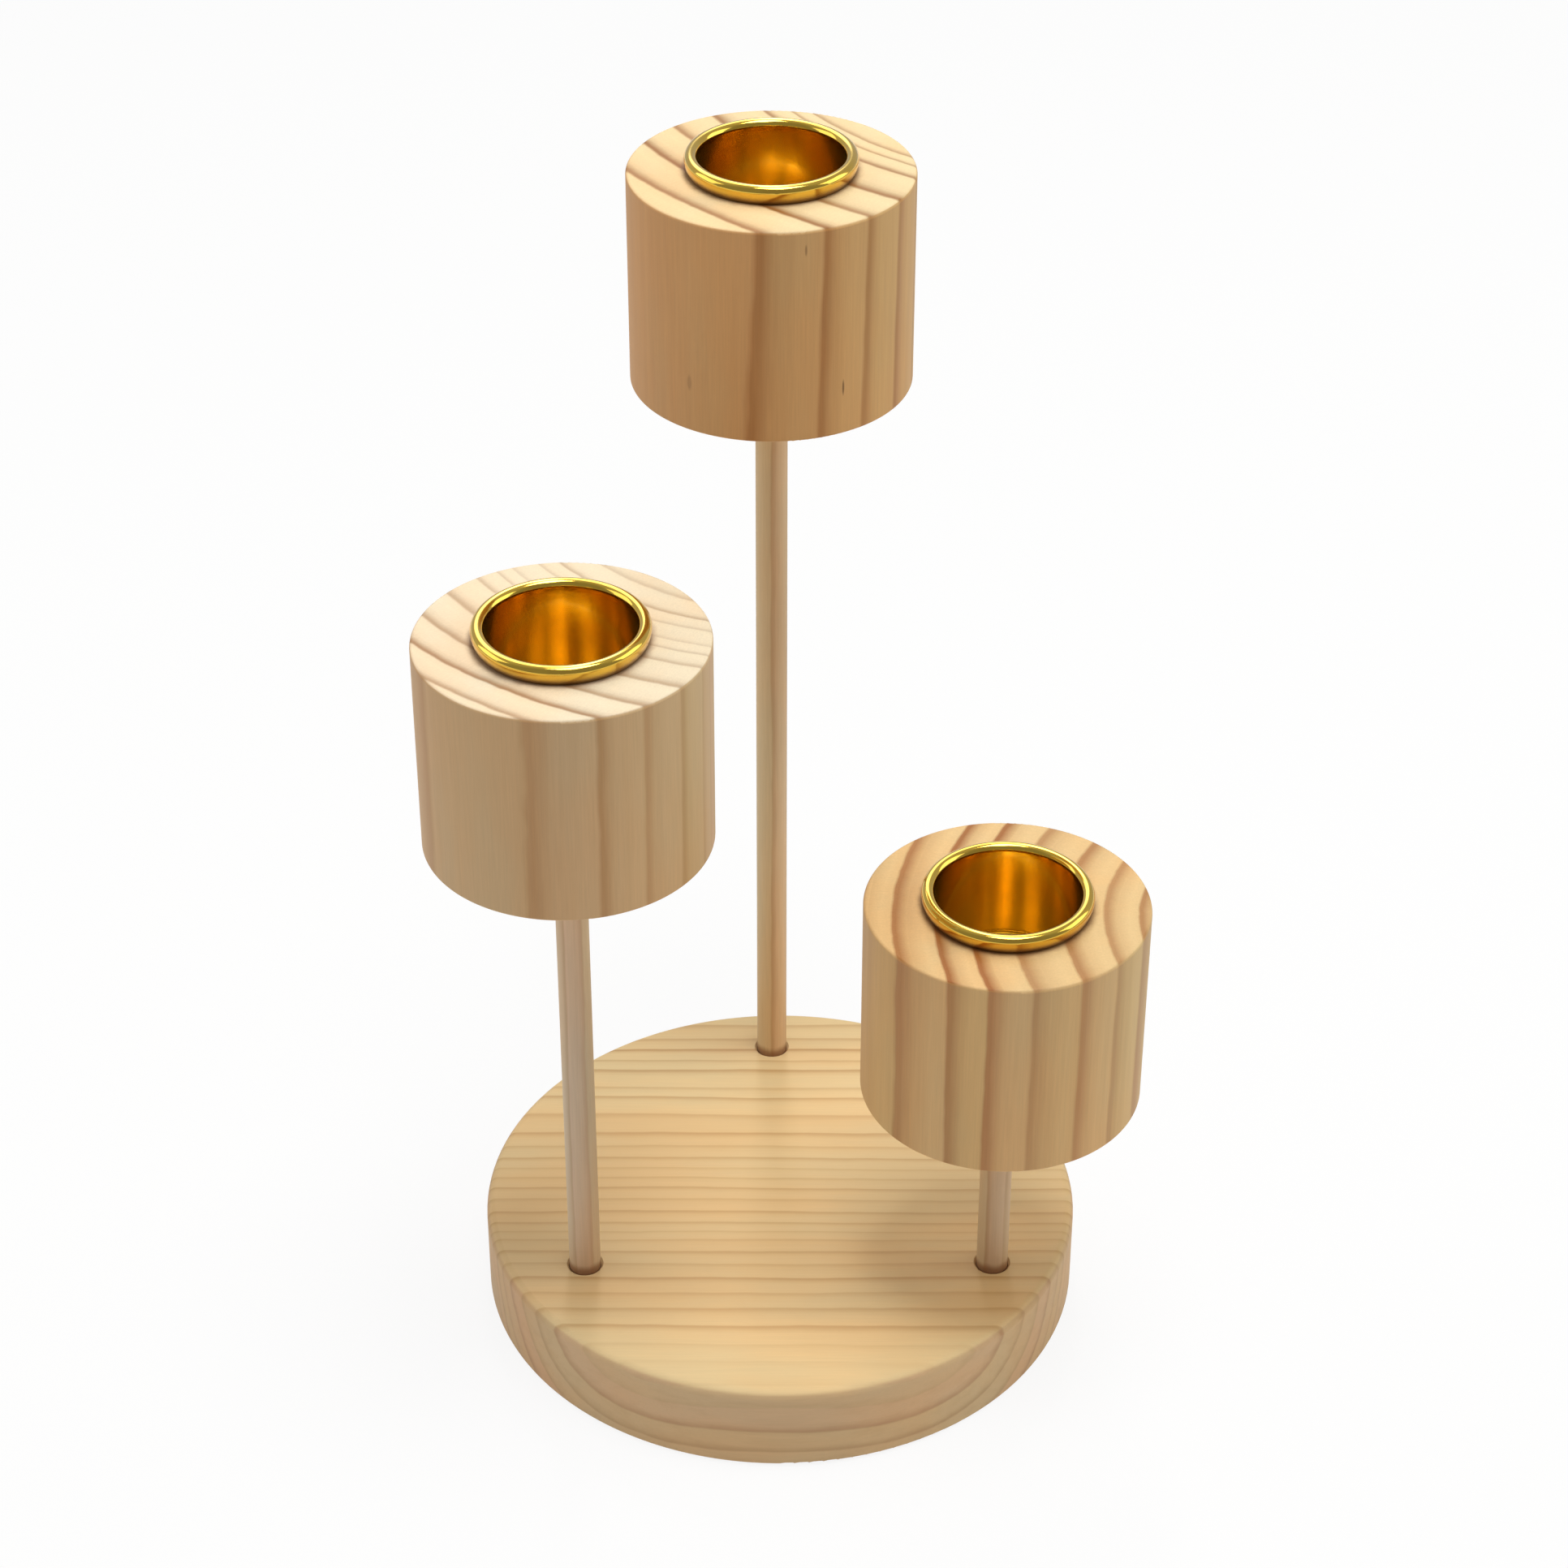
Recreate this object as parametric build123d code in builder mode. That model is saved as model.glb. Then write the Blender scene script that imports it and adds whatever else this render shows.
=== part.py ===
"""Three-light pine candelabra with lift-out brass candle cups.

Lengths are millimetres and angles are degrees. +Z is up, the origin is the centre of the
base's underside, and -Y is the front. A round base carries three thin stems, each stem
carries a drum-shaped wooden head, and each head holds a brass cup for one dinner candle.
"""
from build123d import *
import math
import os
from dataclasses import dataclass

# Base disc
BASE_DIAMETER = 100.0
BASE_THICKNESS = 15.5
BASE_TOP_ROUNDING = 1.5
BASE_FOOT_ROUNDING = 0.8

# Stems: thin dowels glued into blind sockets, the same distance into every base socket
STEM_DIAMETER = 5.2
STEM_END_CHAMFER = 0.5
BASE_SOCKET_DEPTH = 9.5
HEAD_SOCKET_DEPTH = 8.5
SOCKET_GLUE_GAP = 0.1
SOCKET_MOUTH_CHAMFER = 0.35

# Bare length of the short stem between base and head, and how much longer each next one is
SHORT_STEM_REACH = 38.2
STEM_REACH_STEP = 48.7

# Where each stem stands: how far in from the base's rim, and its bearing from +X towards +Y
TALL_STEM_INSET = 10.0
TALL_STEM_BEARING = 92.2
MIDDLE_STEM_INSET = 12.6
MIDDLE_STEM_BEARING = 209.7
SHORT_STEM_INSET = 10.3
SHORT_STEM_BEARING = 332.9

# Wooden heads
HEAD_DIAMETER = 45.0
HEAD_HEIGHT = 35.5
HEAD_EDGE_ROUNDING = 0.5

# Brass cups: a thin round wall, a flat floor and a rolled rim that rests on the wood
CUP_INNER_DIAMETER = 22.8
CUP_DEPTH = 17.4
CUP_WALL = 0.8
CUP_FLOOR = 0.8
CUP_FLOOR_ROUNDING = 1.4
CUP_RIM_WIDTH = 2.1
CUP_RIM_HEIGHT = 3.0
CUP_SEAT_WIDTH = 0.45
CUP_SLIDING_CLEARANCE = 0.25
CUP_FLOOR_CLEARANCE = 0.6

# Sizes that follow from the ones above
base_radius = BASE_DIAMETER / 2
stem_radius = STEM_DIAMETER / 2
socket_radius = stem_radius + SOCKET_GLUE_GAP
head_radius = HEAD_DIAMETER / 2
cup_inner_radius = CUP_INNER_DIAMETER / 2
cup_outer_radius = cup_inner_radius + CUP_WALL
cup_hole_radius = cup_outer_radius + CUP_SLIDING_CLEARANCE
cup_drop = CUP_DEPTH - CUP_RIM_HEIGHT + CUP_FLOOR
cup_hole_depth = cup_drop + CUP_FLOOR_CLEARANCE
cup_bead_radius = CUP_RIM_WIDTH / 2
cup_crest_radius = cup_inner_radius + cup_bead_radius
cup_rim_radius = cup_inner_radius + CUP_RIM_WIDTH
cup_seat_radius = cup_hole_radius + CUP_SEAT_WIDTH


@dataclass(frozen=True)
class Light:
    """One stem with its head and its cup, told by where it stands and how far it rises."""

    name: str
    inset: float
    bearing: float
    reach: float

    def place(self, height):
        """Level plane on this stem's axis at a height above the underside of the base."""
        radius = base_radius - self.inset
        turn = math.radians(self.bearing)
        return Plane(origin=(radius * math.cos(turn), radius * math.sin(turn), height))

    @property
    def head_bottom(self):
        """Height of the head's underside."""
        return BASE_THICKNESS + self.reach

    @property
    def head_top(self):
        """Height of the wooden face that the cup's rim rests on."""
        return self.head_bottom + HEAD_HEIGHT


LIGHTS = [
    Light("tall", TALL_STEM_INSET, TALL_STEM_BEARING, SHORT_STEM_REACH + 2 * STEM_REACH_STEP),
    Light("middle", MIDDLE_STEM_INSET, MIDDLE_STEM_BEARING, SHORT_STEM_REACH + STEM_REACH_STEP),
    Light("short", SHORT_STEM_INSET, SHORT_STEM_BEARING, SHORT_STEM_REACH),
]


def finish(part, name):
    """Label a finished piece and write it to its own file."""
    part.label = name
    export_step(part, f"parts/{name}.step")


def make_stem(light):
    """Straight dowel from the floor of its base socket to the end of its head socket."""
    length = BASE_SOCKET_DEPTH + light.reach + HEAD_SOCKET_DEPTH
    with BuildPart() as stem:
        with BuildSketch(light.place(BASE_THICKNESS - BASE_SOCKET_DEPTH)):
            Circle(stem_radius)
        extrude(amount=length)
        chamfer(stem.edges().filter_by(GeomType.CIRCLE), STEM_END_CHAMFER)
    return stem.part


def make_head(light):
    """Turned drum, bored from above for the cup and from below for the stem."""
    with BuildPart() as head:
        with BuildSketch(light.place(light.head_bottom)):
            Circle(head_radius)
        extrude(amount=HEAD_HEIGHT)
        fillet(head.edges().filter_by(GeomType.CIRCLE), HEAD_EDGE_ROUNDING)
        with BuildSketch(light.place(light.head_top)):
            Circle(cup_hole_radius)
        extrude(amount=-cup_hole_depth, mode=Mode.SUBTRACT)
        with BuildSketch(light.place(light.head_bottom)):
            Circle(socket_radius)
        extrude(amount=HEAD_SOCKET_DEPTH, mode=Mode.SUBTRACT)
    return head.part


def make_cup(light):
    """Spun brass cup, revolved about its axis from half of its section.

    In the section, x is the distance from the cup's axis and y is the height above the
    wood that the rim rests on. The rim is a rolled bead: a half round on top, which runs on
    outside as an arc that draws back in to a narrow seat just outside the hole.
    """
    axis_plane = light.place(light.head_top)
    floor_inside = CUP_FLOOR - cup_drop
    bead_middle = CUP_RIM_HEIGHT - cup_bead_radius
    with BuildPart() as cup:
        with BuildSketch(Plane(origin=axis_plane.origin, x_dir=(1, 0, 0), z_dir=(0, -1, 0))):
            with BuildLine():
                outside = Polyline((0, -cup_drop), (cup_outer_radius, -cup_drop), (cup_outer_radius, 0))
                seat = Line(outside @ 1, (cup_seat_radius, 0))
                bead = ThreePointArc(
                    (cup_rim_radius, bead_middle),
                    (cup_crest_radius, CUP_RIM_HEIGHT),
                    (cup_inner_radius, bead_middle),
                )
                TangentArc(bead @ 0, seat @ 1, tangent=(0, -1))
                Polyline(bead @ 1, (cup_inner_radius, floor_inside), (0, floor_inside), outside @ 0)
            make_face()
        revolve(axis=Axis(axis_plane.origin, (0, 0, 1)))
        floor_rings = cup.edges().filter_by(GeomType.CIRCLE).group_by(Axis.Z)
        fillet(floor_rings[1], CUP_FLOOR_ROUNDING)
        fillet(floor_rings[0], CUP_FLOOR_ROUNDING + CUP_WALL)
    return cup.part


def make_base():
    """Flat disc with a soft upper edge and one blind socket for each stem."""
    with BuildPart() as base:
        with BuildSketch():
            Circle(base_radius)
        extrude(amount=BASE_THICKNESS)
        fillet(base.faces().sort_by(Axis.Z)[-1].edges(), BASE_TOP_ROUNDING)
        fillet(base.faces().sort_by(Axis.Z)[0].edges(), BASE_FOOT_ROUNDING)
        for light in LIGHTS:
            with BuildSketch(light.place(BASE_THICKNESS)):
                Circle(socket_radius)
            extrude(amount=-BASE_SOCKET_DEPTH, mode=Mode.SUBTRACT)
        mouths = base.faces().sort_by(Axis.Z)[-1].inner_wires().edges()
        chamfer(mouths, SOCKET_MOUTH_CHAMFER)
    return base.part


os.makedirs("parts", exist_ok=True)
finish(make_base(), "base_disc")
for one in LIGHTS:
    finish(make_stem(one), f"{one.name}_stem")
    finish(make_head(one), f"{one.name}_head")
    finish(make_cup(one), f"{one.name}_cup")
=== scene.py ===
"""Looks of a pine candelabra with three lift-out brass cups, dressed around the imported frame.

A round base carries three thin stems, each stem carries a turned wooden drum, and each drum
holds a brass cup for one dinner candle. Sizes of pieces and grain are millimetres in the
dataclasses below, in the frame of the CAD: +Z is up, the origin is the centre of the base's
underside, and -Y is the front. The camera, the floor and the lamps are told in metres.
"""
from __future__ import annotations

import logging
import math
from dataclasses import dataclass, replace
from enum import Enum
from typing import Sequence, Union

import bpy
from mathutils import Matrix, Vector

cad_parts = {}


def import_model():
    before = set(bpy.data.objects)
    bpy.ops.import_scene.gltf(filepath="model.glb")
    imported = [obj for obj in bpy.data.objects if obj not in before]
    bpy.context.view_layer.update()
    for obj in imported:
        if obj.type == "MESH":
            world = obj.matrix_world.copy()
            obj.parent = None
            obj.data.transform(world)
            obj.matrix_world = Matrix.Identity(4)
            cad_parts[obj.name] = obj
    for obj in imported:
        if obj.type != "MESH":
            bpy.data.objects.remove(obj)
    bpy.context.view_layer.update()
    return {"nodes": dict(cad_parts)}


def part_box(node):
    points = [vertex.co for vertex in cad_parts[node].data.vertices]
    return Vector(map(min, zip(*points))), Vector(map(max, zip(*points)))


LOG = logging.getLogger("candelabra")
MM = 0.001

# Inputs of Blender's Mix node for numbers and for colours, and its output for colours
MIX_NUMBERS = (0, 2, 3)
MIX_COLOURS = (0, 6, 7)
MIX_COLOUR_OUTPUT = 2

# How far up or down a surface has to face to start to count as level, and to count fully
LEVEL_SPAN = (0.5, 0.85)

# Darkness of the wood within one year: right after its start, and by the share of the year left
EARLY_WOOD = ((0.0, 0.95), (0.03, 0.5), (0.07, 0.06), (0.3, 0.0))
LATE_WOOD = ((0.48, 0.1), (0.3, 0.28), (0.16, 0.7), (0.07, 1.0), (0.0, 0.97))

Paint = tuple[float, float, float]
Pair = tuple[float, float]
Socket = bpy.types.NodeSocket
Feed = Union[Socket, float, Sequence[float]]
Owner = Union[bpy.types.Material, bpy.types.World]


def paint(red: int, green: int, blue: int) -> Paint:
    """Turn a colour as a screen shows it into the linear light that shaders use.

    Args:
        red: Red from 0 to 255.
        green: Green from 0 to 255.
        blue: Blue from 0 to 255.

    Returns:
        The same colour in linear light, each part from 0 to 1.
    """
    shares = (red / 255, green / 255, blue / 255)
    return tuple(s / 12.92 if s <= 0.04045 else ((s + 0.055) / 1.055) ** 2.4 for s in shares)


class Fibre(Enum):
    """Direction in which the wood's fibres run."""

    UPRIGHT = "z"
    SIDEWAYS = "x"


class NodeBoard:
    """Lays out the shader nodes of a material or of the world and joins them up."""

    def __init__(self, owner: Owner) -> None:
        """Start with no nodes.

        Args:
            owner: The material or the world.
        """
        owner.use_nodes = True
        self.owner = owner
        self.tree = owner.node_tree
        self.tree.nodes.clear()

    def node(self, kind: str, **settings: object) -> bpy.types.Node:
        """Add one node.

        Args:
            kind: Blender's type name of the node.
            **settings: Properties to set on it.

        Returns:
            The new node.
        """
        made = self.tree.nodes.new(kind)
        for key, value in settings.items():
            setattr(made, key, value)
        return made

    def feed(self, socket: Socket, source: Feed) -> None:
        """Give an input its value, from another node or as a constant.

        Args:
            socket: The input.
            source: An output to link, or a number, a vector or a colour.
        """
        if isinstance(source, bpy.types.NodeSocket):
            self.tree.links.new(source, socket)
        elif isinstance(source, (int, float)):
            socket.default_value = source
        elif socket.type == "RGBA":
            socket.default_value = (*source, 1.0)
        else:
            socket.default_value = tuple(source)

    def math(self, operation: str, *values: Feed, clamp: bool = False) -> Socket:
        """Work out one number.

        Args:
            operation: Blender's name of the operation.
            *values: Its inputs, in order.
            clamp: Whether the result is kept between 0 and 1.

        Returns:
            The result.
        """
        made = self.node("ShaderNodeMath", operation=operation, use_clamp=clamp)
        for socket, value in zip(made.inputs, values):
            self.feed(socket, value)
        return made.outputs[0]

    def sway(self, value: Feed, reach: float, middle: float = 0.0) -> Socket:
        """Turn a number that varies about 0.5 into one that varies about a middle, by reach in all."""
        return self.math("MULTIPLY_ADD", value, reach, middle - reach / 2)

    def combine(self, x: Feed, y: Feed, z: Feed) -> Socket:
        """Make a vector from three numbers.

        Args:
            x: First part.
            y: Second part.
            z: Third part.

        Returns:
            The vector.
        """
        made = self.node("ShaderNodeCombineXYZ")
        for socket, value in zip(made.inputs, (x, y, z)):
            self.feed(socket, value)
        return made.outputs[0]

    def length(self, x: Feed, y: Feed) -> Socket:
        """Measure the length of a vector in a plane."""
        square = self.math("ADD", self.math("MULTIPLY", x, x), self.math("MULTIPLY", y, y))
        return self.math("SQRT", square)

    def separate(self, vector: Feed) -> tuple[Socket, Socket, Socket]:
        """Split a vector into its three numbers.

        Args:
            vector: The vector.

        Returns:
            Its x, y and z.
        """
        made = self.node("ShaderNodeSeparateXYZ")
        self.feed(made.inputs[0], vector)
        return tuple(made.outputs)

    def noise(self, vector: Feed, scale: float, detail: float = 2.0, rough: float = 0.5) -> Socket:
        """Add soft random variation.

        Args:
            vector: Where the variation is read.
            scale: How many blotches fit in one unit.
            detail: Number of finer layers.
            rough: Strength of each finer layer.

        Returns:
            A number that varies about 0.5.
        """
        made = self.node("ShaderNodeTexNoise")
        self.feed(made.inputs["Vector"], vector)
        self.feed(made.inputs["Scale"], scale)
        self.feed(made.inputs["Detail"], detail)
        self.feed(made.inputs["Roughness"], rough)
        return made.outputs["Fac"]

    def drift(self, vector: Feed, scale: float, reach: float, detail: float = 2.0) -> Socket:
        """Add random variation about nought, mostly within half of the reach on either side."""
        return self.sway(self.noise(vector, scale, detail), reach)

    def span(
        self, value: Feed, low: float, high: float, start: float = 0.0, end: float = 1.0
    ) -> Socket:
        """Turn one range of values smoothly into another, held at its ends.

        Args:
            value: The number to turn.
            low: Where the change starts.
            high: Where the change is complete.
            start: Result at and below low.
            end: Result at and above high.

        Returns:
            The turned number.
        """
        made = self.node("ShaderNodeMapRange", interpolation_type="SMOOTHSTEP", clamp=True)
        for socket, part in zip(made.inputs, (value, low, high, start, end)):
            self.feed(socket, part)
        return made.outputs[0]

    def ramp(self, value: Feed, stops: Sequence[Pair]) -> Socket:
        """Shape a number between 0 and 1 by a list of stops.

        Args:
            value: The number.
            stops: Pairs of a position from 0 to 1 and the level there.

        Returns:
            The shaped number.
        """
        made = self.node("ShaderNodeValToRGB")
        elements = made.color_ramp.elements
        for number, (place, level) in enumerate(stops):
            element = elements[number] if number < 2 else elements.new(place)
            element.position = place
            element.color = (level, level, level, 1.0)
        self.feed(made.inputs[0], value)
        return made.outputs[0]

    def curve(self, value: Feed, points: Sequence[Pair]) -> Socket:
        """Read a number off a smooth curve through points between 0 and 1.

        Args:
            value: The number, from 0 to 1.
            points: Pairs of a place and the height of the curve there.

        Returns:
            The height of the curve.
        """
        made = self.node("ShaderNodeFloatCurve")
        line = made.mapping.curves[0]
        made.mapping.use_clip = False
        line.points[0].location = points[0]
        line.points[1].location = points[-1]
        for place in points[1:-1]:
            line.points.new(*place)
        made.mapping.update()
        self.feed(made.inputs["Value"], value)
        return made.outputs[0]

    def mix(self, share: Feed, first: Feed, second: Feed, blend: str = "MIX") -> Socket:
        """Blend two colours.

        Args:
            share: Share of the second colour.
            first: First colour.
            second: Second colour.
            blend: Blender's name of the blend.

        Returns:
            The blended colour.
        """
        made = self.node("ShaderNodeMix", data_type="RGBA", blend_type=blend)
        for number, source in zip(MIX_COLOURS, (share, first, second)):
            self.feed(made.inputs[number], source)
        return made.outputs[MIX_COLOUR_OUTPUT]

    def mix_numbers(self, share: Feed, first: Feed, second: Feed) -> Socket:
        """Blend two numbers.

        Args:
            share: Share of the second number.
            first: First number.
            second: Second number.

        Returns:
            The blended number.
        """
        made = self.node("ShaderNodeMix")
        for number, source in zip(MIX_NUMBERS, (share, first, second)):
            self.feed(made.inputs[number], source)
        return made.outputs[0]

    def places(self) -> tuple[Socket, Socket, Socket]:
        """Give the place on the piece in millimetres of the shared frame.

        Returns:
            The x, y and z of the place.
        """
        where = self.node("ShaderNodeTexCoord").outputs["Object"]
        scaled = self.node("ShaderNodeVectorMath", operation="SCALE")
        self.feed(scaled.inputs[0], where)
        self.feed(scaled.inputs["Scale"], 1 / MM)
        return self.separate(scaled.outputs[0])

    def facing(self) -> tuple[Socket, Socket, Socket]:
        """Give the direction that the surface faces, in the shared frame."""
        return self.separate(self.node("ShaderNodeTexCoord").outputs["Normal"])

    def relief(self, height: Feed, depth: float) -> Socket:
        """Give the surface a fine relief.

        Args:
            height: Height of the relief, from 0 to 1.
            depth: What a height of 1 stands for, in millimetres.

        Returns:
            The direction that the surface then faces.
        """
        made = self.node("ShaderNodeBump")
        self.feed(made.inputs["Strength"], 1.0)
        self.feed(made.inputs["Distance"], depth * MM)
        self.feed(made.inputs["Height"], height)
        return made.outputs[0]

    def blend_shaders(self, share: Feed, first: bpy.types.Node, second: bpy.types.Node) -> Socket:
        """Blend two shaders.

        Args:
            share: Share of the second shader.
            first: First shader.
            second: Second shader.

        Returns:
            The blended shader.
        """
        made = self.node("ShaderNodeMixShader")
        for socket, source in zip(made.inputs, (share, first.outputs[0], second.outputs[0])):
            self.feed(socket, source)
        return made.outputs[0]

    def shade(self, **inputs: Feed) -> bpy.types.Material:
        """Finish the material with its shader.

        Args:
            **inputs: Values of the shader's inputs, with _ for each space in a name.

        Returns:
            The finished material.
        """
        shader = self.node("ShaderNodeBsdfPrincipled")
        for name, value in inputs.items():
            self.feed(shader.inputs[name.replace("_", " ")], value)
        self.feed(self.node("ShaderNodeOutputMaterial").inputs[0], shader.outputs[0])
        return self.owner


@dataclass(frozen=True)
class Stretch:
    """The stretch of a round piece that shows, in millimetres of the shared frame."""

    axis: Pair
    foot: float
    top: float
    radius: float

    @property
    def middle(self) -> float:
        """Height of the middle of the stretch."""
        return (self.foot + self.top) / 2

    @classmethod
    def of(cls, node: str) -> Stretch:
        """Measure a whole CAD piece at rest.

        Args:
            node: Name of the piece.

        Returns:
            Its stretch.
        """
        low, high = (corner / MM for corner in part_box(node))
        centre = (low + high) / 2
        return cls((centre.x, centre.y), low.z, high.z, (high.x - low.x) / 2)


@dataclass(frozen=True)
class YearRings:
    """Where the tree's yearly rings run through one piece.

    The rings are circles about the pith, a line along the fibres. Each dark line is told by
    how far it lies from the pith and by how strong it is, from 0 to 1. Wander and ripple are
    the slow and the quick bends of the lines, each with its rate per millimetre, and both are
    drawn out along the fibres. Breadth tells how much of each year the dark wood takes.
    """

    pith: Pair
    lines: tuple[Pair, ...]
    lean: float = 0.0
    wander: float = 0.9
    wander_rate: float = 0.045
    ripple: float = 0.45
    ripple_rate: float = 0.32
    along_rate: float = 0.35
    breadth: float = 0.75

    @classmethod
    def toward(cls, bearing: float, distance: float, lines: Sequence[Pair], **bends: float) -> YearRings:
        """Describe rings whose dark lines are told from the middle of the piece.

        Args:
            bearing: Where the pith lies, in degrees from +X towards +Y.
            distance: How far the pith lies from the middle.
            lines: How far each dark line lies from the middle towards the pith, and its strength.
            **bends: Any of the other fields.

        Returns:
            The rings.
        """
        turn = math.radians(bearing)
        pith = (distance * math.cos(turn), distance * math.sin(turn))
        from_pith = sorted((distance - offset, strength) for offset, strength in lines)
        return cls(pith, tuple(from_pith), **bends)

    @property
    def reach(self) -> float:
        """Distance from the innermost dark line to the outermost."""
        return self.lines[-1][0] - self.lines[0][0]

    @property
    def years(self) -> int:
        """Number of whole years between the lines."""
        return len(self.lines) - 1

    def share(self, board: NodeBoard, radius: Feed) -> Socket:
        """Tell how far out a place lies, from 0 on the innermost line to 1 on the outermost."""
        return board.math("DIVIDE", board.math("SUBTRACT", radius, self.lines[0][0]), self.reach)

    def count(self, board: NodeBoard, share: Feed) -> Socket:
        """Number the years outwards from the innermost dark line.

        Args:
            board: The material's nodes.
            share: How far out the place lies, from 0 to 1.

        Returns:
            A number that is whole on each dark line.
        """
        inner = self.lines[0][0]
        points = [
            ((line - inner) / self.reach, number / self.years)
            for number, (line, _) in enumerate(self.lines)
        ]
        # Beyond the lines, the years go on as wide as the first and the last one
        inner_slope = points[1][1] / points[1][0]
        outer_slope = (1.0 - points[-2][1]) / (1.0 - points[-2][0])
        points = [(-1.0, -inner_slope), *points, (2.0, 1.0 + outer_slope)]
        return board.math("MULTIPLY", board.curve(share, points), self.years)

    def strength(self, board: NodeBoard, year: Feed) -> Socket:
        """Tell how strong a dark line is, from 0 to 1, by its number counted outwards."""
        points = [(number / self.years, strength) for number, (_, strength) in enumerate(self.lines)]
        return board.curve(board.math("DIVIDE", year, self.years, clamp=True), points)


@dataclass(frozen=True)
class Fleck:
    """A short dark fleck in the upright face of a drum, at a height above the drum's foot."""

    bearing: float
    height: float
    width: float
    length: float
    depth: float
    core: float = 0.4
    tone: Paint = paint(92, 58, 28)

    def mask(self, board: NodeBoard, piece: Stretch) -> Socket:
        """Mark out the fleck.

        Args:
            board: The material's nodes.
            piece: Where the piece shows.

        Returns:
            The fleck's depth in its middle, falling to 0 at its edge.
        """
        turn = math.radians(self.bearing)
        x, y, z = board.places()
        dx = board.math("SUBTRACT", x, piece.axis[0] + piece.radius * math.sin(turn))
        dy = board.math("SUBTRACT", y, piece.axis[1] - piece.radius * math.cos(turn))
        across = board.math("DIVIDE", board.length(dx, dy), self.width / 2)
        up = board.math("SUBTRACT", z, piece.foot + self.height)
        out = board.length(across, board.math("DIVIDE", up, self.length / 2))
        return board.span(out, self.core, 1.0, self.depth, 0.0)


@dataclass(frozen=True)
class RimShadow:
    """Painted shadow of a cup's rim: a brown ring painted on the wood round the rim."""

    inner: float = 12.9
    outer: float = 14.6
    wobble: float = 0.9
    wobble_rate: float = 0.5
    depth: float = 0.65
    # Colour of the painted shadow round the rim
    tone: Paint = paint(128, 82, 44)

    def mask(self, board: NodeBoard, piece: Stretch) -> Socket:
        """Mark out the ring, uneven all round.

        Args:
            board: The material's nodes.
            piece: Where the piece shows.

        Returns:
            The mark's depth close to the rim, falling to 0 further out.
        """
        dx, dy = (board.math("SUBTRACT", part, c) for part, c in zip(board.places(), piece.axis))
        uneven = board.drift(board.combine(dx, dy, 0.0), self.wobble_rate, self.wobble)
        out = board.math("ADD", board.length(dx, dy), uneven)
        ring = board.span(out, self.inner, self.outer, self.depth, 0.0)
        return board.math("MULTIPLY", ring, board.span(board.facing()[2], *LEVEL_SPAN))


@dataclass(frozen=True)
class FootMark:
    """Brown line of glue round the foot of a stem."""

    full: float = 0.4
    reach: float = 2.0
    wobble: float = 1.2
    wobble_rate: float = 0.6
    depth: float = 0.75
    tone: Paint = paint(140, 88, 48)

    def mask(self, board: NodeBoard, piece: Stretch) -> Socket:
        """Mark out the band, uneven all round.

        Args:
            board: The material's nodes.
            piece: Where the piece shows.

        Returns:
            The mark's depth at the foot, falling to 0 higher up.
        """
        x, y, z = board.places()
        uneven = board.drift(board.combine(x, y, piece.middle), self.wobble_rate, self.wobble)
        up = board.math("ADD", z, uneven)
        return board.span(up, piece.foot + self.full, piece.foot + self.reach, self.depth, 0.0)


@dataclass(frozen=True)
class WarmBand:
    """Band of slightly darker wood along a board, told by its edges across the fibres."""

    low: float
    high: float
    fade: float
    wobble: float = 7.0
    wobble_rate: float = 0.08
    along_rate: float = 0.3
    depth: float = 0.16
    tone: Paint = paint(194, 148, 92)

    def mask(self, board: NodeBoard, piece: Stretch) -> Socket:
        """Mark out the band.

        Args:
            board: The material's nodes.
            piece: Where the piece shows.

        Returns:
            The band's depth in its middle, falling to 0 beyond its edges.
        """
        x, y, z = board.places()
        drawn_out = board.combine(board.math("MULTIPLY", x, self.along_rate), y, z)
        across = board.math("ADD", y, board.drift(drawn_out, self.wobble_rate, self.wobble))
        across = board.math("SUBTRACT", across, piece.axis[1])
        rise = board.span(across, self.low - self.fade, self.low, 0.0, self.depth)
        fall = board.span(across, self.high, self.high + self.fade, 1.0, 0.0)
        return board.math("MULTIPLY", rise, fall)


Mark = Union[Fleck, RimShadow, FootMark, WarmBand]


@dataclass(frozen=True)
class PineGrain:
    """Sizes and strengths of the finer grain, shared by every piece of pine.

    Widths and lengths are in millimetres and rates are per millimetre. A tint is what the
    wood's colour is multiplied by. Lead is how long before a dark line, in years, the line's
    own strength starts to count.
    """

    coarse_width: float = 1.6
    coarse_length: float = 40.0
    coarse_reach: float = 0.5
    fine_width: float = 0.22
    fine_length: float = 9.0
    fibre_detail: float = 3.0
    fibre_rough: float = 0.55
    ray_width: float = 0.2
    ray_length: float = 2.2
    ray_reach: float = 0.12
    pore_rate: float = 3.2
    pore_reach: float = 0.16
    lead: float = 0.35
    rosy_year: Paint = (1.025, 0.975, 0.96)
    straw_year: Paint = (0.98, 1.025, 0.94)
    year_share: float = 0.8
    cloud_rate: float = 0.07
    cloud_along_rate: float = 0.3
    cloud_detail: float = 3.0
    cloud_span: Pair = (0.35, 0.65)
    warm_tint: Paint = (1.03, 0.985, 0.93)
    cool_tint: Paint = (0.97, 1.01, 1.03)
    rough: float = 0.58
    rough_reach: float = 0.16
    dark_gloss: float = 0.08
    relief: float = 0.02
    relief_of_fine: float = 0.6
    relief_of_dark: float = 0.5
    relief_of_pores: float = 0.2
    shine: float = 0.35


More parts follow.
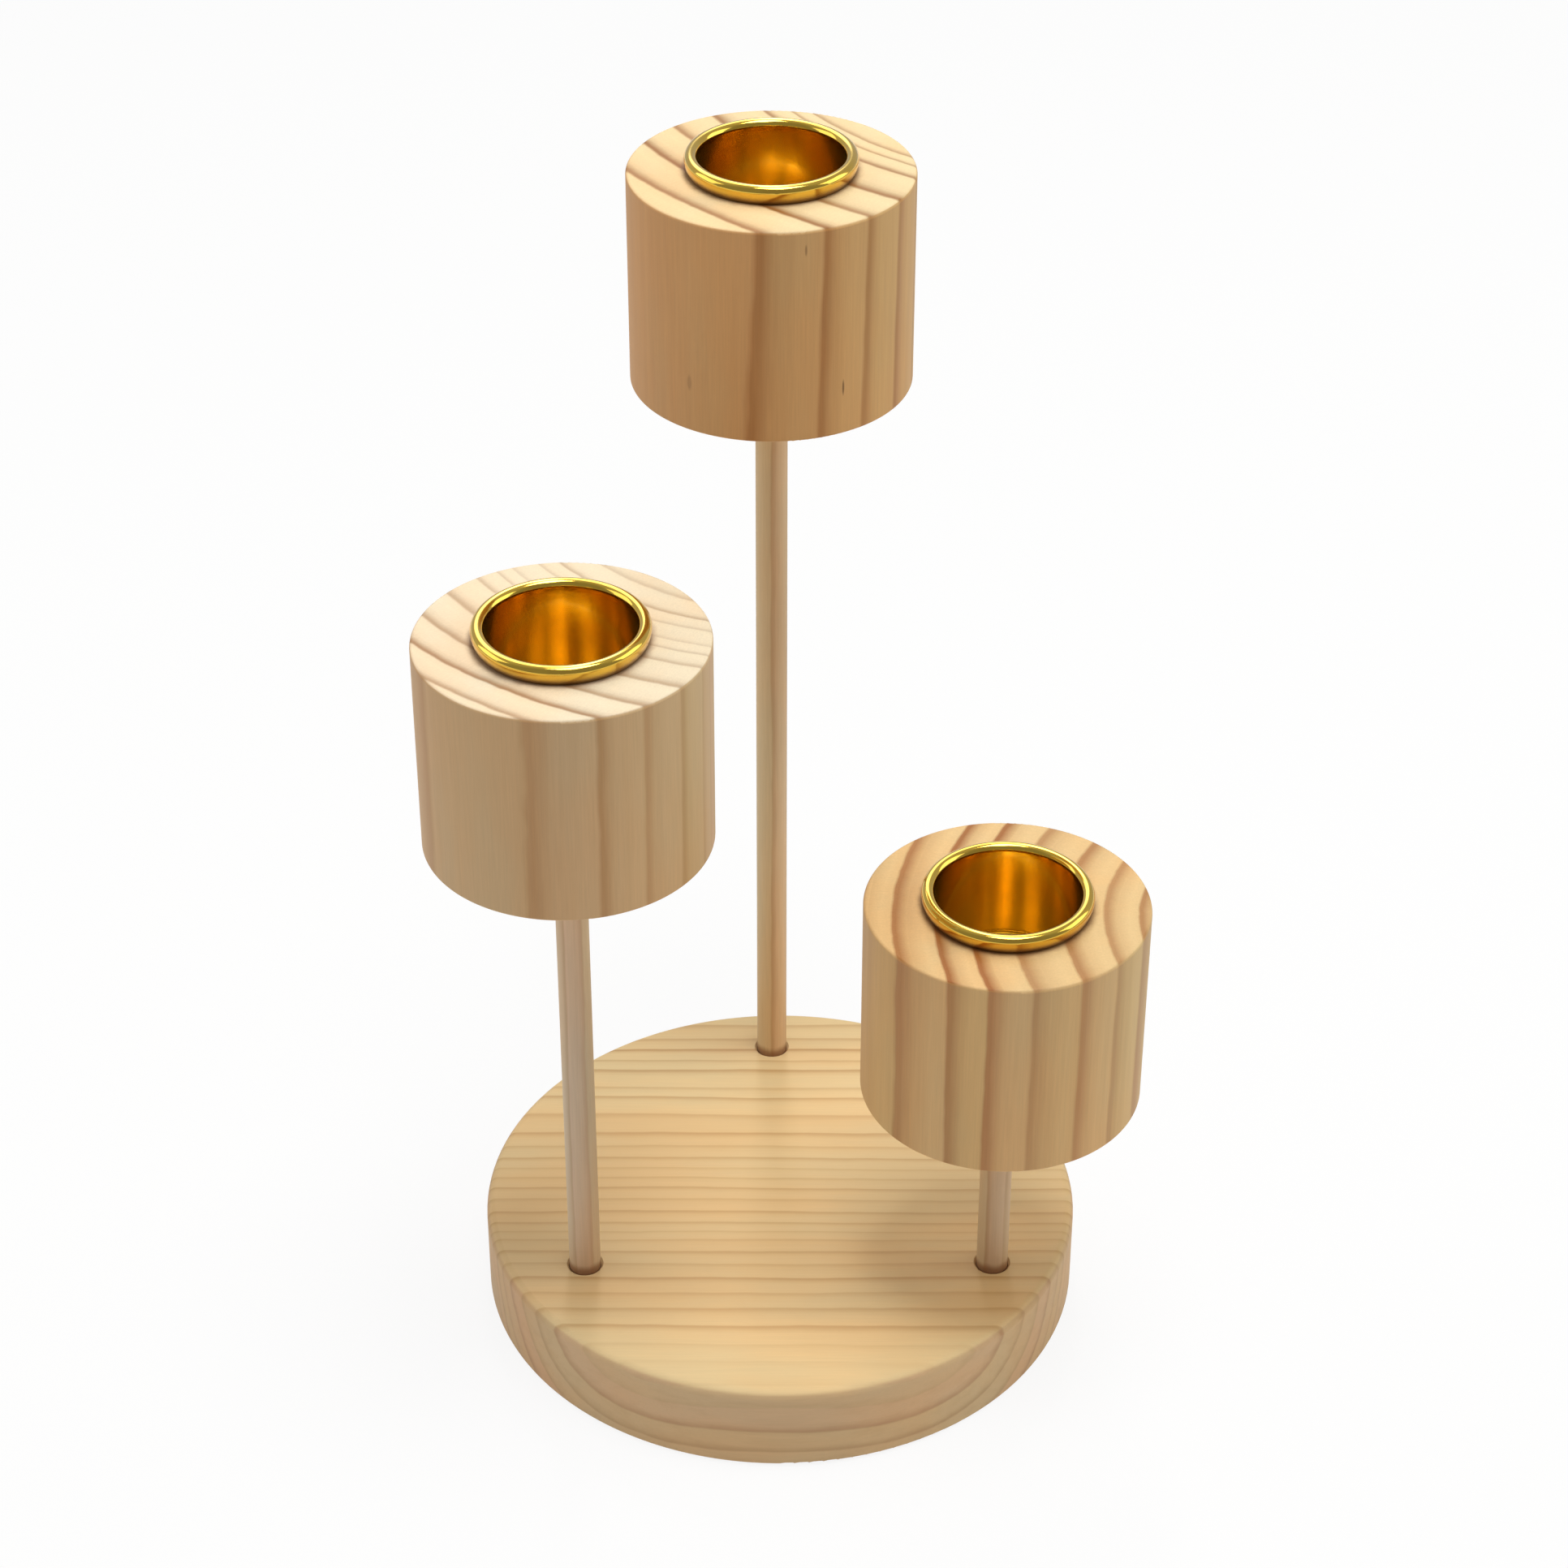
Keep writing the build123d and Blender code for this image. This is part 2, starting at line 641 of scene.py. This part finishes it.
@dataclass(frozen=True)
class PineFinish:
    """Bare sanded pine, with rings that run through the whole piece.

    The level faces and the upright faces each have a pale and a dark tone, because the photo
    shows them in different tones. This is painted light: the level faces are painted paler, as
    lit from above, and the upright faces darker and browner, as shaded. The lot picks another
    order of rosy and straw yellow years.
    """

    name: str
    fibre: Fibre
    rings: YearRings
    # Painted light: lit tones for the level faces, shaded tones for the upright faces
    lit_face_pale: Paint
    lit_face_dark: Paint
    shaded_side_pale: Paint
    shaded_side_dark: Paint
    streaks: float = 0.2
    lot: int = 0
    marks: tuple[Mark, ...] = ()
    grain: PineGrain = PineGrain()

    def across_and_along(self, board: NodeBoard, piece: Stretch) -> tuple[Socket, Socket, Socket]:
        """Read the place as two distances across the fibres and one along them.

        Upright wood is measured from the middle of the piece, and a board from its underside.

        Args:
            board: The material's nodes.
            piece: Where the piece shows.

        Returns:
            First and second distance across and the distance along.
        """
        upright = self.fibre is Fibre.UPRIGHT
        origin = (*piece.axis, piece.middle if upright else piece.foot)
        x, y, z = (board.math("SUBTRACT", part, c) for part, c in zip(board.places(), origin))
        return (x, y, z) if upright else (y, z, x)

    def radius_from_pith(self, board: NodeBoard, a: Socket, b: Socket, along: Socket) -> Socket:
        """Measure how far a place lies from the pith, with the wander of real rings.

        Args:
            board: The material's nodes.
            a: First distance across the fibres.
            b: Second distance across the fibres.
            along: Distance along the fibres.

        Returns:
            The distance in millimetres.
        """
        rings = self.rings
        bent = board.combine(a, b, board.math("MULTIPLY", along, rings.along_rate))
        a = board.math("SUBTRACT", a, rings.pith[0])
        b = board.math("SUBTRACT", b, rings.pith[1])
        radius = board.math("ADD", board.length(a, b), board.math("MULTIPLY", along, rings.lean))
        radius = board.math("ADD", radius, board.drift(bent, rings.wander_rate, rings.wander))
        return board.math("ADD", radius, board.drift(bent, rings.ripple_rate, rings.ripple))

    def latewood(self, board: NodeBoard, year: Socket) -> Socket:
        """Darken the wood towards the end of each year, and end the year abruptly.

        Args:
            board: The material's nodes.
            year: The number of years out from the innermost dark line.

        Returns:
            How dark the wood is, from 0 to 1.
        """
        late = [(1.0 - before_end * self.rings.breadth, level) for before_end, level in LATE_WOOD]
        dark = board.ramp(board.math("FRACT", year), [*EARLY_WOOD, *late])
        nearest = board.math("FLOOR", board.math("ADD", year, self.grain.lead))
        return board.math("MULTIPLY", dark, self.rings.strength(board, nearest), clamp=True)

    def year_tint(self, board: NodeBoard, year: Socket) -> Socket:
        """Give each year's wood a slightly different hue, from rosy to straw yellow.

        Args:
            board: The material's nodes.
            year: The number of years out from the innermost dark line.

        Returns:
            A colour to multiply by.
        """
        chance = board.node("ShaderNodeTexWhiteNoise", noise_dimensions="1D")
        board.feed(chance.inputs["W"], board.math("ADD", board.math("FLOOR", year), self.lot))
        return board.mix(chance.outputs["Value"], self.grain.rosy_year, self.grain.straw_year)

    def rays(self, board: NodeBoard, a: Socket, b: Socket, radius: Socket) -> Socket:
        """Draw the fine rays that cross the rings on sawn-across wood.

        Args:
            board: The material's nodes.
            a: First distance across the fibres.
            b: Second distance across the fibres.
            radius: Distance from the pith.

        Returns:
            A number that varies about 0.5.
        """
        a = board.math("SUBTRACT", a, self.rings.pith[0])
        b = board.math("SUBTRACT", b, self.rings.pith[1])
        mean = self.rings.lines[0][0] + self.rings.reach / 2
        round_pith = board.math("MULTIPLY", board.math("ARCTAN2", b, a), mean / self.grain.ray_width)
        outwards = board.math("DIVIDE", radius, self.grain.ray_length)
        return board.noise(board.combine(round_pith, outwards, 0.0), 1.0)

    def fibres(
        self, board: NodeBoard, a: Socket, b: Socket, along: Socket, width: float, length: float
    ) -> Socket:
        """Draw fibres: variation that is narrow across the wood and long along it.

        Args:
            board: The material's nodes.
            a: First distance across the fibres.
            b: Second distance across the fibres.
            along: Distance along the fibres.
            width: Width of a fibre bundle.
            length: Length of a fibre bundle.

        Returns:
            A number that varies about 0.5.
        """
        sizes = ((a, width), (b, width), (along, length))
        place = board.combine(*(board.math("DIVIDE", distance, size) for distance, size in sizes))
        return board.noise(place, 1.0, self.grain.fibre_detail, self.grain.fibre_rough)

    def material(self, piece: Stretch) -> bpy.types.Material:
        """Build the finish.

        Args:
            piece: Where the piece shows.

        Returns:
            The material.
        """
        board = NodeBoard(bpy.data.materials.new(self.name))
        grain = self.grain
        a, b, along = self.across_and_along(board, piece)
        radius = self.radius_from_pith(board, a, b, along)
        year = self.rings.count(board, self.rings.share(board, radius))
        dark = self.latewood(board, year)
        coarse = self.fibres(board, a, b, along, grain.coarse_width, grain.coarse_length)
        fine = self.fibres(board, a, b, along, grain.fine_width, grain.fine_length)
        pores = board.noise(board.combine(a, b, along), grain.pore_rate)
        level = board.span(board.math("ABSOLUTE", board.facing()[2]), *LEVEL_SPAN)

        # Painted light: upright faces get the darker, browner shaded tones and level faces the paler lit
        # tones
        shaded_side_dark = board.math("ADD", dark, board.sway(coarse, grain.coarse_reach), clamp=True)
        side = board.mix(shaded_side_dark, self.shaded_side_pale, self.shaded_side_dark)
        side = board.mix(grain.year_share, side, self.year_tint(board, year), "MULTIPLY")
        face = board.mix(dark, self.lit_face_pale, self.lit_face_dark)
        colour = board.mix(level, side, face)

        drawn_out = board.combine(a, b, board.math("MULTIPLY", along, grain.cloud_along_rate))
        cloud = board.noise(drawn_out, grain.cloud_rate, grain.cloud_detail)
        warm = board.mix(board.span(cloud, *grain.cloud_span), grain.warm_tint, grain.cool_tint)
        colour = board.mix(1.0, colour, warm, "MULTIPLY")
        streak = board.sway(fine, self.streaks, 1.0)
        if self.fibre is Fibre.UPRIGHT:
            ray = board.sway(self.rays(board, a, b, radius), grain.ray_reach, 1.0)
            end_grain = board.math("MULTIPLY", ray, board.sway(pores, grain.pore_reach, 1.0))
            change = board.math("MULTIPLY", level, board.math("SUBTRACT", end_grain, streak))
            streak = board.math("ADD", streak, change)
        colour = board.mix(1.0, colour, board.combine(streak, streak, streak), "MULTIPLY")
        # Marks: flecks, glue at the foot, darker bands and the painted shadow round a cup's rim
        for mark in self.marks:
            colour = board.mix(mark.mask(board, piece), colour, mark.tone)

        rough = board.sway(fine, grain.rough_reach, grain.rough)
        rough = board.math("SUBTRACT", rough, board.math("MULTIPLY", dark, grain.dark_gloss))
        height = board.math("MULTIPLY", fine, grain.relief_of_fine)
        height = board.math("ADD", height, board.math("MULTIPLY", dark, grain.relief_of_dark))
        height = board.math("ADD", height, board.math("MULTIPLY", pores, grain.relief_of_pores))
        return board.shade(
            Base_Color=colour,
            Roughness=rough,
            Normal=board.relief(height, grain.relief),
            Specular_IOR_Level=grain.shine,
        )


@dataclass(frozen=True)
class BrassFinish:
    """Polished brass of a drawn cup, with faint marks from drawing and spinning.

    The brass is painted darker close to the wood under the rim, as painted shade, and is duller
    inside the bore. A pair is where a change starts and where it is complete: rim and bore as
    distances from the cup's axis, heights as told from the top of the wood. What begins with
    rough_of or relief_of is how much that thing adds.
    """

    name: str
    tone: Paint = (0.77, 0.51, 0.06)
    deep: Paint = (0.71, 0.45, 0.05)
    cloud_rate: float = 0.25
    cloud_span: Pair = (0.3, 0.7)
    # Painted shade under the rim: dark brown painted on the brass close to the wood
    rim_shade: Paint = (0.3, 0.16, 0.04)
    rim_shade_share: float = 0.85
    rim_shade_height: Pair = (0.3, 1.7)
    rim_shade_wobble: float = 0.4
    rim_shade_wobble_rate: float = 1.2
    rim_span: Pair = (12.0, 12.6)
    bore_span: Pair = (11.4, 11.7)
    bore_height: Pair = (0.8, 2.0)
    detail: float = 3.0
    spun_rate: float = 6.0
    drawn_rate: float = 1.6
    drawn_along_rate: float = 0.1
    rough: float = 0.1
    rough_of_cloud: float = 0.1
    rough_of_drawn: float = 0.03
    rough_of_rim_shade: float = 0.3
    rough_of_bore: float = 0.09
    relief: float = 0.003
    relief_of_spun: float = 0.3
    lacquer: float = 0.6
    lacquer_rough: float = 0.06

    def material(self, head: Stretch) -> bpy.types.Material:
        """Build the finish.

        Args:
            head: Where the head that holds the cup shows.

        Returns:
            The material.
        """
        board = NodeBoard(bpy.data.materials.new(self.name))
        origin = (*head.axis, head.top)
        x, y, z = (board.math("SUBTRACT", part, c) for part, c in zip(board.places(), origin))
        out = board.length(x, y)
        rings = (board.math("MULTIPLY", part, self.spun_rate) for part in (out, z))
        spun = board.noise(board.combine(*rings, 0.0), 1.0, self.detail)
        rates = ((x, self.drawn_rate), (y, self.drawn_rate), (z, self.drawn_along_rate))
        streaks = board.combine(*(board.math("MULTIPLY", part, rate) for part, rate in rates))
        drawn = board.noise(streaks, 1.0)
        cloud = board.noise(board.combine(x, y, z), self.cloud_rate, self.detail)
        colour = board.mix(board.span(cloud, *self.cloud_span), self.tone, self.deep)

        # Painted shade: the brass is darkened close to the wood under the rim
        uneven = board.drift(board.combine(x, y, z), self.rim_shade_wobble_rate, self.rim_shade_wobble)
        near_wood = board.span(board.math("ADD", z, uneven), *self.rim_shade_height, 1.0, 0.0)
        rim_shaded = board.math("MULTIPLY", board.span(out, *self.rim_span), near_wood)
        rim_shaded = board.math("MULTIPLY", rim_shaded, self.rim_shade_share)
        colour = board.mix(rim_shaded, colour, self.rim_shade)

        inside = board.span(out, *self.bore_span, self.rough_of_bore, 0.0)
        inside = board.math("MULTIPLY", inside, board.span(z, *self.bore_height, 1.0, 0.0))
        rough = board.sway(cloud, self.rough_of_cloud, self.rough)
        rough = board.math("ADD", rough, board.math("MULTIPLY", drawn, self.rough_of_drawn))
        rough = board.math("ADD", rough, board.math("MULTIPLY", rim_shaded, self.rough_of_rim_shade))
        rough = board.math("ADD", rough, inside)
        height = board.math("ADD", board.math("MULTIPLY", spun, self.relief_of_spun), drawn)
        return board.shade(
            Base_Color=colour,
            Metallic=1.0,
            Roughness=rough,
            Normal=board.relief(height, self.relief),
            Coat_Weight=self.lacquer,
            Coat_Roughness=self.lacquer_rough,
        )


@dataclass(frozen=True)
class Base:
    """The round base."""

    node: str = "base_disc"
    finish: PineFinish = PineFinish(
        name="base_pine_sanded",
        fibre=Fibre.SIDEWAYS,
        rings=YearRings(
            pith=(-45.0, 17.6),
            lines=(
                (3.4, 0.1), (7.2, 0.15), (11.6, 0.5), (15.7, 0.45), (19.4, 0.35), (23.1, 0.6),
                (26.6, 0.35), (29.7, 0.5), (32.6, 0.35), (34.6, 0.3), (36.8, 0.45), (39.6, 0.5),
                (42.8, 0.35), (45.8, 0.5), (48.5, 0.35), (51.1, 0.3), (53.9, 0.5), (57.0, 0.35),
                (60.5, 0.55), (65.5, 0.4), (70.5, 0.55), (73.0, 0.35), (78.0, 0.65), (80.7, 0.4),
                (84.0, 0.75), (87.0, 0.45), (91.0, 0.45), (96.0, 0.45),
            ),
            wander=2.0,
            ripple=0.5,
            breadth=0.85,
        ),
        # Lit tones for level faces and shaded tones for upright faces: painted light
        lit_face_pale=paint(230, 200, 149),
        lit_face_dark=paint(180, 130, 72),
        shaded_side_pale=paint(211, 176, 135),
        shaded_side_dark=paint(168, 122, 82),
        streaks=0.12,
        marks=(WarmBand(low=-27.0, high=16.0, fade=9.0),),
    )

    def dress(self, nodes: dict[str, bpy.types.Object]) -> None:
        """Give the base its wood."""
        wear(nodes[self.node], self.finish.material(Stretch.of(self.node)))
        LOG.info("%s: %s", self.node, self.finish.name)


@dataclass(frozen=True)
class Light:
    """One stem with its head and its cup."""

    name: str
    head_wood: PineFinish
    stem_wood: PineFinish

    def dress(self, nodes: dict[str, bpy.types.Object]) -> None:
        """Give the stem, the head and the cup their finishes.

        Args:
            nodes: The CAD pieces by name.
        """
        head = Stretch.of(f"{self.name}_head")
        stem = replace(Stretch.of(f"{self.name}_stem"), foot=Stretch.of(Base.node).top, top=head.foot)
        brass = BrassFinish(f"{self.name}_cup_brass")
        finishes = (("stem", self.stem_wood, stem), ("head", self.head_wood, head), ("cup", brass, head))
        for piece, finish, place in finishes:
            wear(nodes[f"{self.name}_{piece}"], finish.material(place))
            LOG.info("%s_%s: %s", self.name, piece, finish.name)


def wear(piece: bpy.types.Object, material: bpy.types.Material) -> None:
    """Put one material all over a piece.

    Args:
        piece: The piece.
        material: The material.
    """
    for number in range(len(piece.data.materials)):
        piece.data.materials[number] = material


def tall_light() -> Light:
    """Describe the tallest light, at the back.

    Returns:
        The light.
    """
    head = PineFinish(
        name="tall_head_pine",
        fibre=Fibre.UPRIGHT,
        rings=YearRings.toward(
            bearing=42.5,
            distance=90,
            lines=(
                (23.0, 0.6), (17.6, 0.65), (15.2, 0.65), (11.6, 0.85), (3.7, 0.95),
                (-3.7, 0.85), (-10.7, 1.0), (-18.0, 0.9), (-25.5, 0.6),
            ),
            lean=0.02,
        ),
        # Lit tones for level faces and shaded tones for upright faces: painted light
        lit_face_pale=paint(240, 210, 161),
        lit_face_dark=paint(152, 100, 46),
        shaded_side_pale=paint(208, 161, 107),
        shaded_side_dark=paint(174, 120, 68),
        lot=11980,
        marks=(
            Fleck(bearing=13.5, height=32.3, width=0.5, length=2.4, depth=0.45),
            Fleck(bearing=29.5, height=8.1, width=0.5, length=3.4, depth=0.7),
            Fleck(bearing=-34.0, height=8.4, width=1.1, length=3.4, depth=0.25),
            # Painted shadow of the cup's rim on the wood
            RimShadow(),
        ),
    )
    stem = PineFinish(
        name="tall_stem_pine",
        fibre=Fibre.UPRIGHT,
        rings=YearRings(
            pith=(24.0, 18.0),
            lines=((26.0, 0.6), (28.6, 0.5), (31.6, 0.6), (34.4, 0.5)),
            wander=1.0,
        ),
        # Lit tones for level faces and shaded tones for upright faces: painted light
        lit_face_pale=paint(230, 196, 152),
        lit_face_dark=paint(196, 152, 106),
        shaded_side_pale=paint(218, 188, 150),
        shaded_side_dark=paint(190, 150, 108),
        marks=(FootMark(),),
    )
    return Light("tall", head, stem)


def middle_light() -> Light:
    """Describe the middle light, at the front left.

    Returns:
        The light.
    """
    head = PineFinish(
        name="middle_head_pine",
        fibre=Fibre.UPRIGHT,
        rings=YearRings.toward(
            bearing=53.5,
            distance=62,
            lines=(
                (24.0, 0.35), (19.2, 0.35), (14.6, 0.5), (11.8, 0.3), (7.8, 0.25), (5.3, 0.35),
                (1.8, 0.45), (-4.1, 0.6), (-10.4, 0.7), (-15.8, 0.9), (-20.8, 0.7), (-26.0, 0.5),
            ),
        ),
        # Lit tones for level faces and shaded tones for upright faces: painted light
        lit_face_pale=paint(240, 219, 187),
        lit_face_dark=paint(154, 110, 66),
        shaded_side_pale=paint(206, 170, 129),
        shaded_side_dark=paint(182, 138, 92),
        # Painted shadow of the cup's rim on the wood
        marks=(RimShadow(),),
    )
    stem = PineFinish(
        name="middle_stem_pine",
        fibre=Fibre.UPRIGHT,
        rings=YearRings(
            pith=(-34.0, 6.0),
            lines=((31.1, 0.5), (33.7, 0.6), (36.4, 0.5), (38.7, 0.6)),
            wander=1.0,
        ),
        # Lit tones for level faces and shaded tones for upright faces: painted light
        lit_face_pale=paint(222, 190, 158),
        lit_face_dark=paint(196, 156, 120),
        shaded_side_pale=paint(214, 187, 158),
        shaded_side_dark=paint(186, 150, 118),
        marks=(FootMark(),),
    )
    return Light("middle", head, stem)


def short_light() -> Light:
    """Describe the short light, at the front right.

    Returns:
        The light.
    """
    head = PineFinish(
        name="short_head_pine",
        fibre=Fibre.UPRIGHT,
        rings=YearRings.toward(
            bearing=353.5,
            distance=52,
            lines=(
                (20.5, 0.8), (15.1, 0.7), (8.5, 0.8), (0.6, 0.7),
                (-5.8, 1.0), (-11.1, 1.0), (-17.6, 0.85), (-23.5, 0.5),
            ),
            breadth=1.15,
        ),
        # Lit tones for level faces and shaded tones for upright faces: painted light
        lit_face_pale=paint(231, 194, 138),
        lit_face_dark=paint(160, 98, 40),
        shaded_side_pale=paint(215, 176, 124),
        shaded_side_dark=paint(180, 130, 82),
        lot=19400,
        # Painted shadow of the cup's rim on the wood
        marks=(RimShadow(depth=0.75),),
    )
    stem = PineFinish(
        name="short_stem_pine",
        fibre=Fibre.UPRIGHT,
        rings=YearRings(
            pith=(32.0, -8.0),
            lines=((28.4, 0.6), (31.1, 0.5), (34.0, 0.6), (37.0, 0.5)),
            wander=1.0,
        ),
        # Lit tones for level faces and shaded tones for upright faces: painted light
        lit_face_pale=paint(220, 184, 146),
        lit_face_dark=paint(190, 148, 108),
        shaded_side_pale=paint(208, 176, 141),
        shaded_side_dark=paint(176, 136, 98),
        marks=(FootMark(),),
    )
    return Light("short", head, stem)


@dataclass(frozen=True)
class PhotoCamera:
    """The camera, as fitted to the outlines in the photo, with its turns in radians."""

    place: tuple[float, float, float] = (0.0, -0.4816, 0.4247)
    focal_px: float = 4528.5
    image_px: float = 1932.0
    sensor_mm: float = 36.0
    pitch: float = 0.5940
    yaw: float = 0.0011
    roll: float = 0.0018

    def build(self) -> None:
        """Make the camera and hand it to the scene."""
        data = bpy.data.cameras.new("photo_camera")
        data.sensor_width = self.sensor_mm
        data.lens = self.focal_px * self.sensor_mm / self.image_px
        camera = bpy.data.objects.new("photo_camera", data)
        bpy.context.scene.collection.objects.link(camera)
        forward = Vector((
            math.sin(self.yaw) * math.cos(self.pitch),
            math.cos(self.yaw) * math.cos(self.pitch),
            -math.sin(self.pitch),
        ))
        right = Vector((math.cos(self.yaw), -math.sin(self.yaw), 0.0))
        up = right.cross(forward)
        across = right * math.cos(self.roll) + up * math.sin(self.roll)
        above = up * math.cos(self.roll) - right * math.sin(self.roll)
        camera.matrix_world = Matrix((across, above, -forward)).transposed().to_4x4()
        camera.location = self.place
        bpy.context.scene.camera = camera


@dataclass(frozen=True)
class Softbox:
    """A flat lamp behind a diffuser."""

    name: str
    place: tuple[float, float, float]
    aim: tuple[float, float, float]
    width: float
    height: float
    watts: float
    tone: Paint = (1.0, 1.0, 1.0)

    def build(self) -> None:
        """Hang the lamp and point it."""
        data = bpy.data.lights.new(self.name, "AREA")
        data.shape = "RECTANGLE"
        data.size = self.width
        data.size_y = self.height
        data.energy = self.watts
        data.color = self.tone
        lamp = bpy.data.objects.new(self.name, data)
        bpy.context.scene.collection.objects.link(lamp)
        lamp.location = self.place
        lamp.rotation_mode = "QUATERNION"
        lamp.rotation_quaternion = (Vector(self.aim) - Vector(self.place)).to_track_quat("-Z", "Y")


@dataclass(frozen=True)
class Studio:
    """A plain pale room: floor, soft surroundings and lamps.

    In metal the room is dim in front, pale behind the object and bright high up behind it.
    """

    floor_width: float = 6.0
    floor_drop: float = 0.0002
    floor_tone: Paint = (0.88, 0.88, 0.88)
    white_share: float = 0.88
    fill: float = 0.32
    fill_tone: Paint = (1.0, 0.995, 0.98)
    front_to_back: Pair = (-0.5, 0.25)
    front_level: float = 0.3
    back_level: float = 0.52
    bright_level: float = 2.2
    bright_way: tuple[float, float, float] = (-0.15, 0.68, 0.72)
    bright_span: Pair = (0.9, 0.96)
    lamps: tuple[Softbox, ...] = (
        Softbox(
            "overhead_lamp", place=(0.12, -0.1, 1.22), aim=(0.0, 0.0, 0.1),
            width=0.5, height=0.5, watts=7.9,
        ),
        Softbox(
            "back_lamp", place=(-0.02, 0.74, 1.08), aim=(0.0, 0.0, 0.12),
            width=0.13, height=0.6, watts=1.8,
        ),
        Softbox(
            "left_lamp", place=(-1.05, 0.12, 0.62), aim=(0.0, 0.0, 0.1),
            width=0.75, height=0.75, watts=2.4, tone=(1.0, 0.97, 0.93),
        ),
        Softbox(
            "right_lamp", place=(1.05, 0.12, 0.62), aim=(0.0, 0.0, 0.1),
            width=0.75, height=0.75, watts=3.3, tone=(0.97, 1.0, 0.88),
        ),
    )

    def seen_directly(self, board: NodeBoard) -> Socket:
        """Tell rays that show the background from rays that light the object.

        Args:
            board: Nodes of the floor or the world.

        Returns:
            1 for rays from the camera, or by way of metal or glass, and else 0.
        """
        path = board.node("ShaderNodeLightPath").outputs
        seen = board.math("MAXIMUM", path["Is Camera Ray"], path["Is Glossy Ray"])
        return board.math("MAXIMUM", seen, path["Is Transmission Ray"])

    def build_floor(self) -> None:
        """Lay the floor, which shows white and still takes a soft shadow."""
        half = self.floor_width / 2
        corners = [(-half, -half, 0), (half, -half, 0), (half, half, 0), (-half, half, 0)]
        mesh = bpy.data.meshes.new("studio_floor")
        mesh.from_pydata(corners, [], [(0, 1, 2, 3)])
        floor = bpy.data.objects.new("studio_floor", mesh)
        floor.location.z = -self.floor_drop
        bpy.context.scene.collection.objects.link(floor)
        board = NodeBoard(bpy.data.materials.new("studio_floor_white"))
        matt = board.node("ShaderNodeBsdfDiffuse")
        board.feed(matt.inputs["Color"], self.floor_tone)
        white = board.node("ShaderNodeEmission")
        share = board.math("MULTIPLY", self.seen_directly(board), self.white_share)
        output = board.node("ShaderNodeOutputMaterial")
        board.feed(output.inputs[0], board.blend_shaders(share, matt, white))
        mesh.materials.append(board.owner)

    def shown_level(self, board: NodeBoard) -> Socket:
        """Set how bright the room is where it is seen.

        Args:
            board: Nodes of the world.

        Returns:
            The level, which is 1 for rays straight from the camera.
        """
        way = board.node("ShaderNodeTexCoord").outputs["Generated"]
        backwards = board.separate(way)[1]
        level = board.span(backwards, *self.front_to_back, self.front_level, self.back_level)
        near = board.node("ShaderNodeVectorMath", operation="DOT_PRODUCT")
        board.feed(near.inputs[0], way)
        board.feed(near.inputs[1], Vector(self.bright_way).normalized())
        bright = board.span(near.outputs["Value"], *self.bright_span, 0.0, self.bright_level)
        straight = board.node("ShaderNodeLightPath").outputs["Is Camera Ray"]
        return board.mix_numbers(straight, board.math("ADD", level, bright), 1.0)

    def build_surroundings(self) -> None:
        """Make the world: pale where it is seen, softer where it lights."""
        world = bpy.data.worlds.new("studio_surroundings")
        board = NodeBoard(world)
        seen = board.node("ShaderNodeBackground")
        board.feed(seen.inputs["Color"], (1.0, 1.0, 1.0))
        board.feed(seen.inputs["Strength"], self.shown_level(board))
        light = board.node("ShaderNodeBackground")
        board.feed(light.inputs["Color"], self.fill_tone)
        board.feed(light.inputs["Strength"], self.fill)
        output = board.node("ShaderNodeOutputWorld")
        board.feed(output.inputs[0], board.blend_shaders(self.seen_directly(board), light, seen))
        bpy.context.scene.world = world

    def build(self) -> None:
        """Set up floor, surroundings, lamps and how colours are shown."""
        self.build_floor()
        self.build_surroundings()
        for lamp in self.lamps:
            lamp.build()
        bpy.context.scene.view_settings.view_transform = "Standard"


def main() -> None:
    """Dress the frame and set up the studio."""
    logging.basicConfig(level=logging.INFO, format="%(name)s: %(message)s")
    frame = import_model()
    PhotoCamera().build()
    Studio().build()
    Base().dress(frame["nodes"])
    for light in (tall_light(), middle_light(), short_light()):
        light.dress(frame["nodes"])


if __name__ == "__main__":
    main()
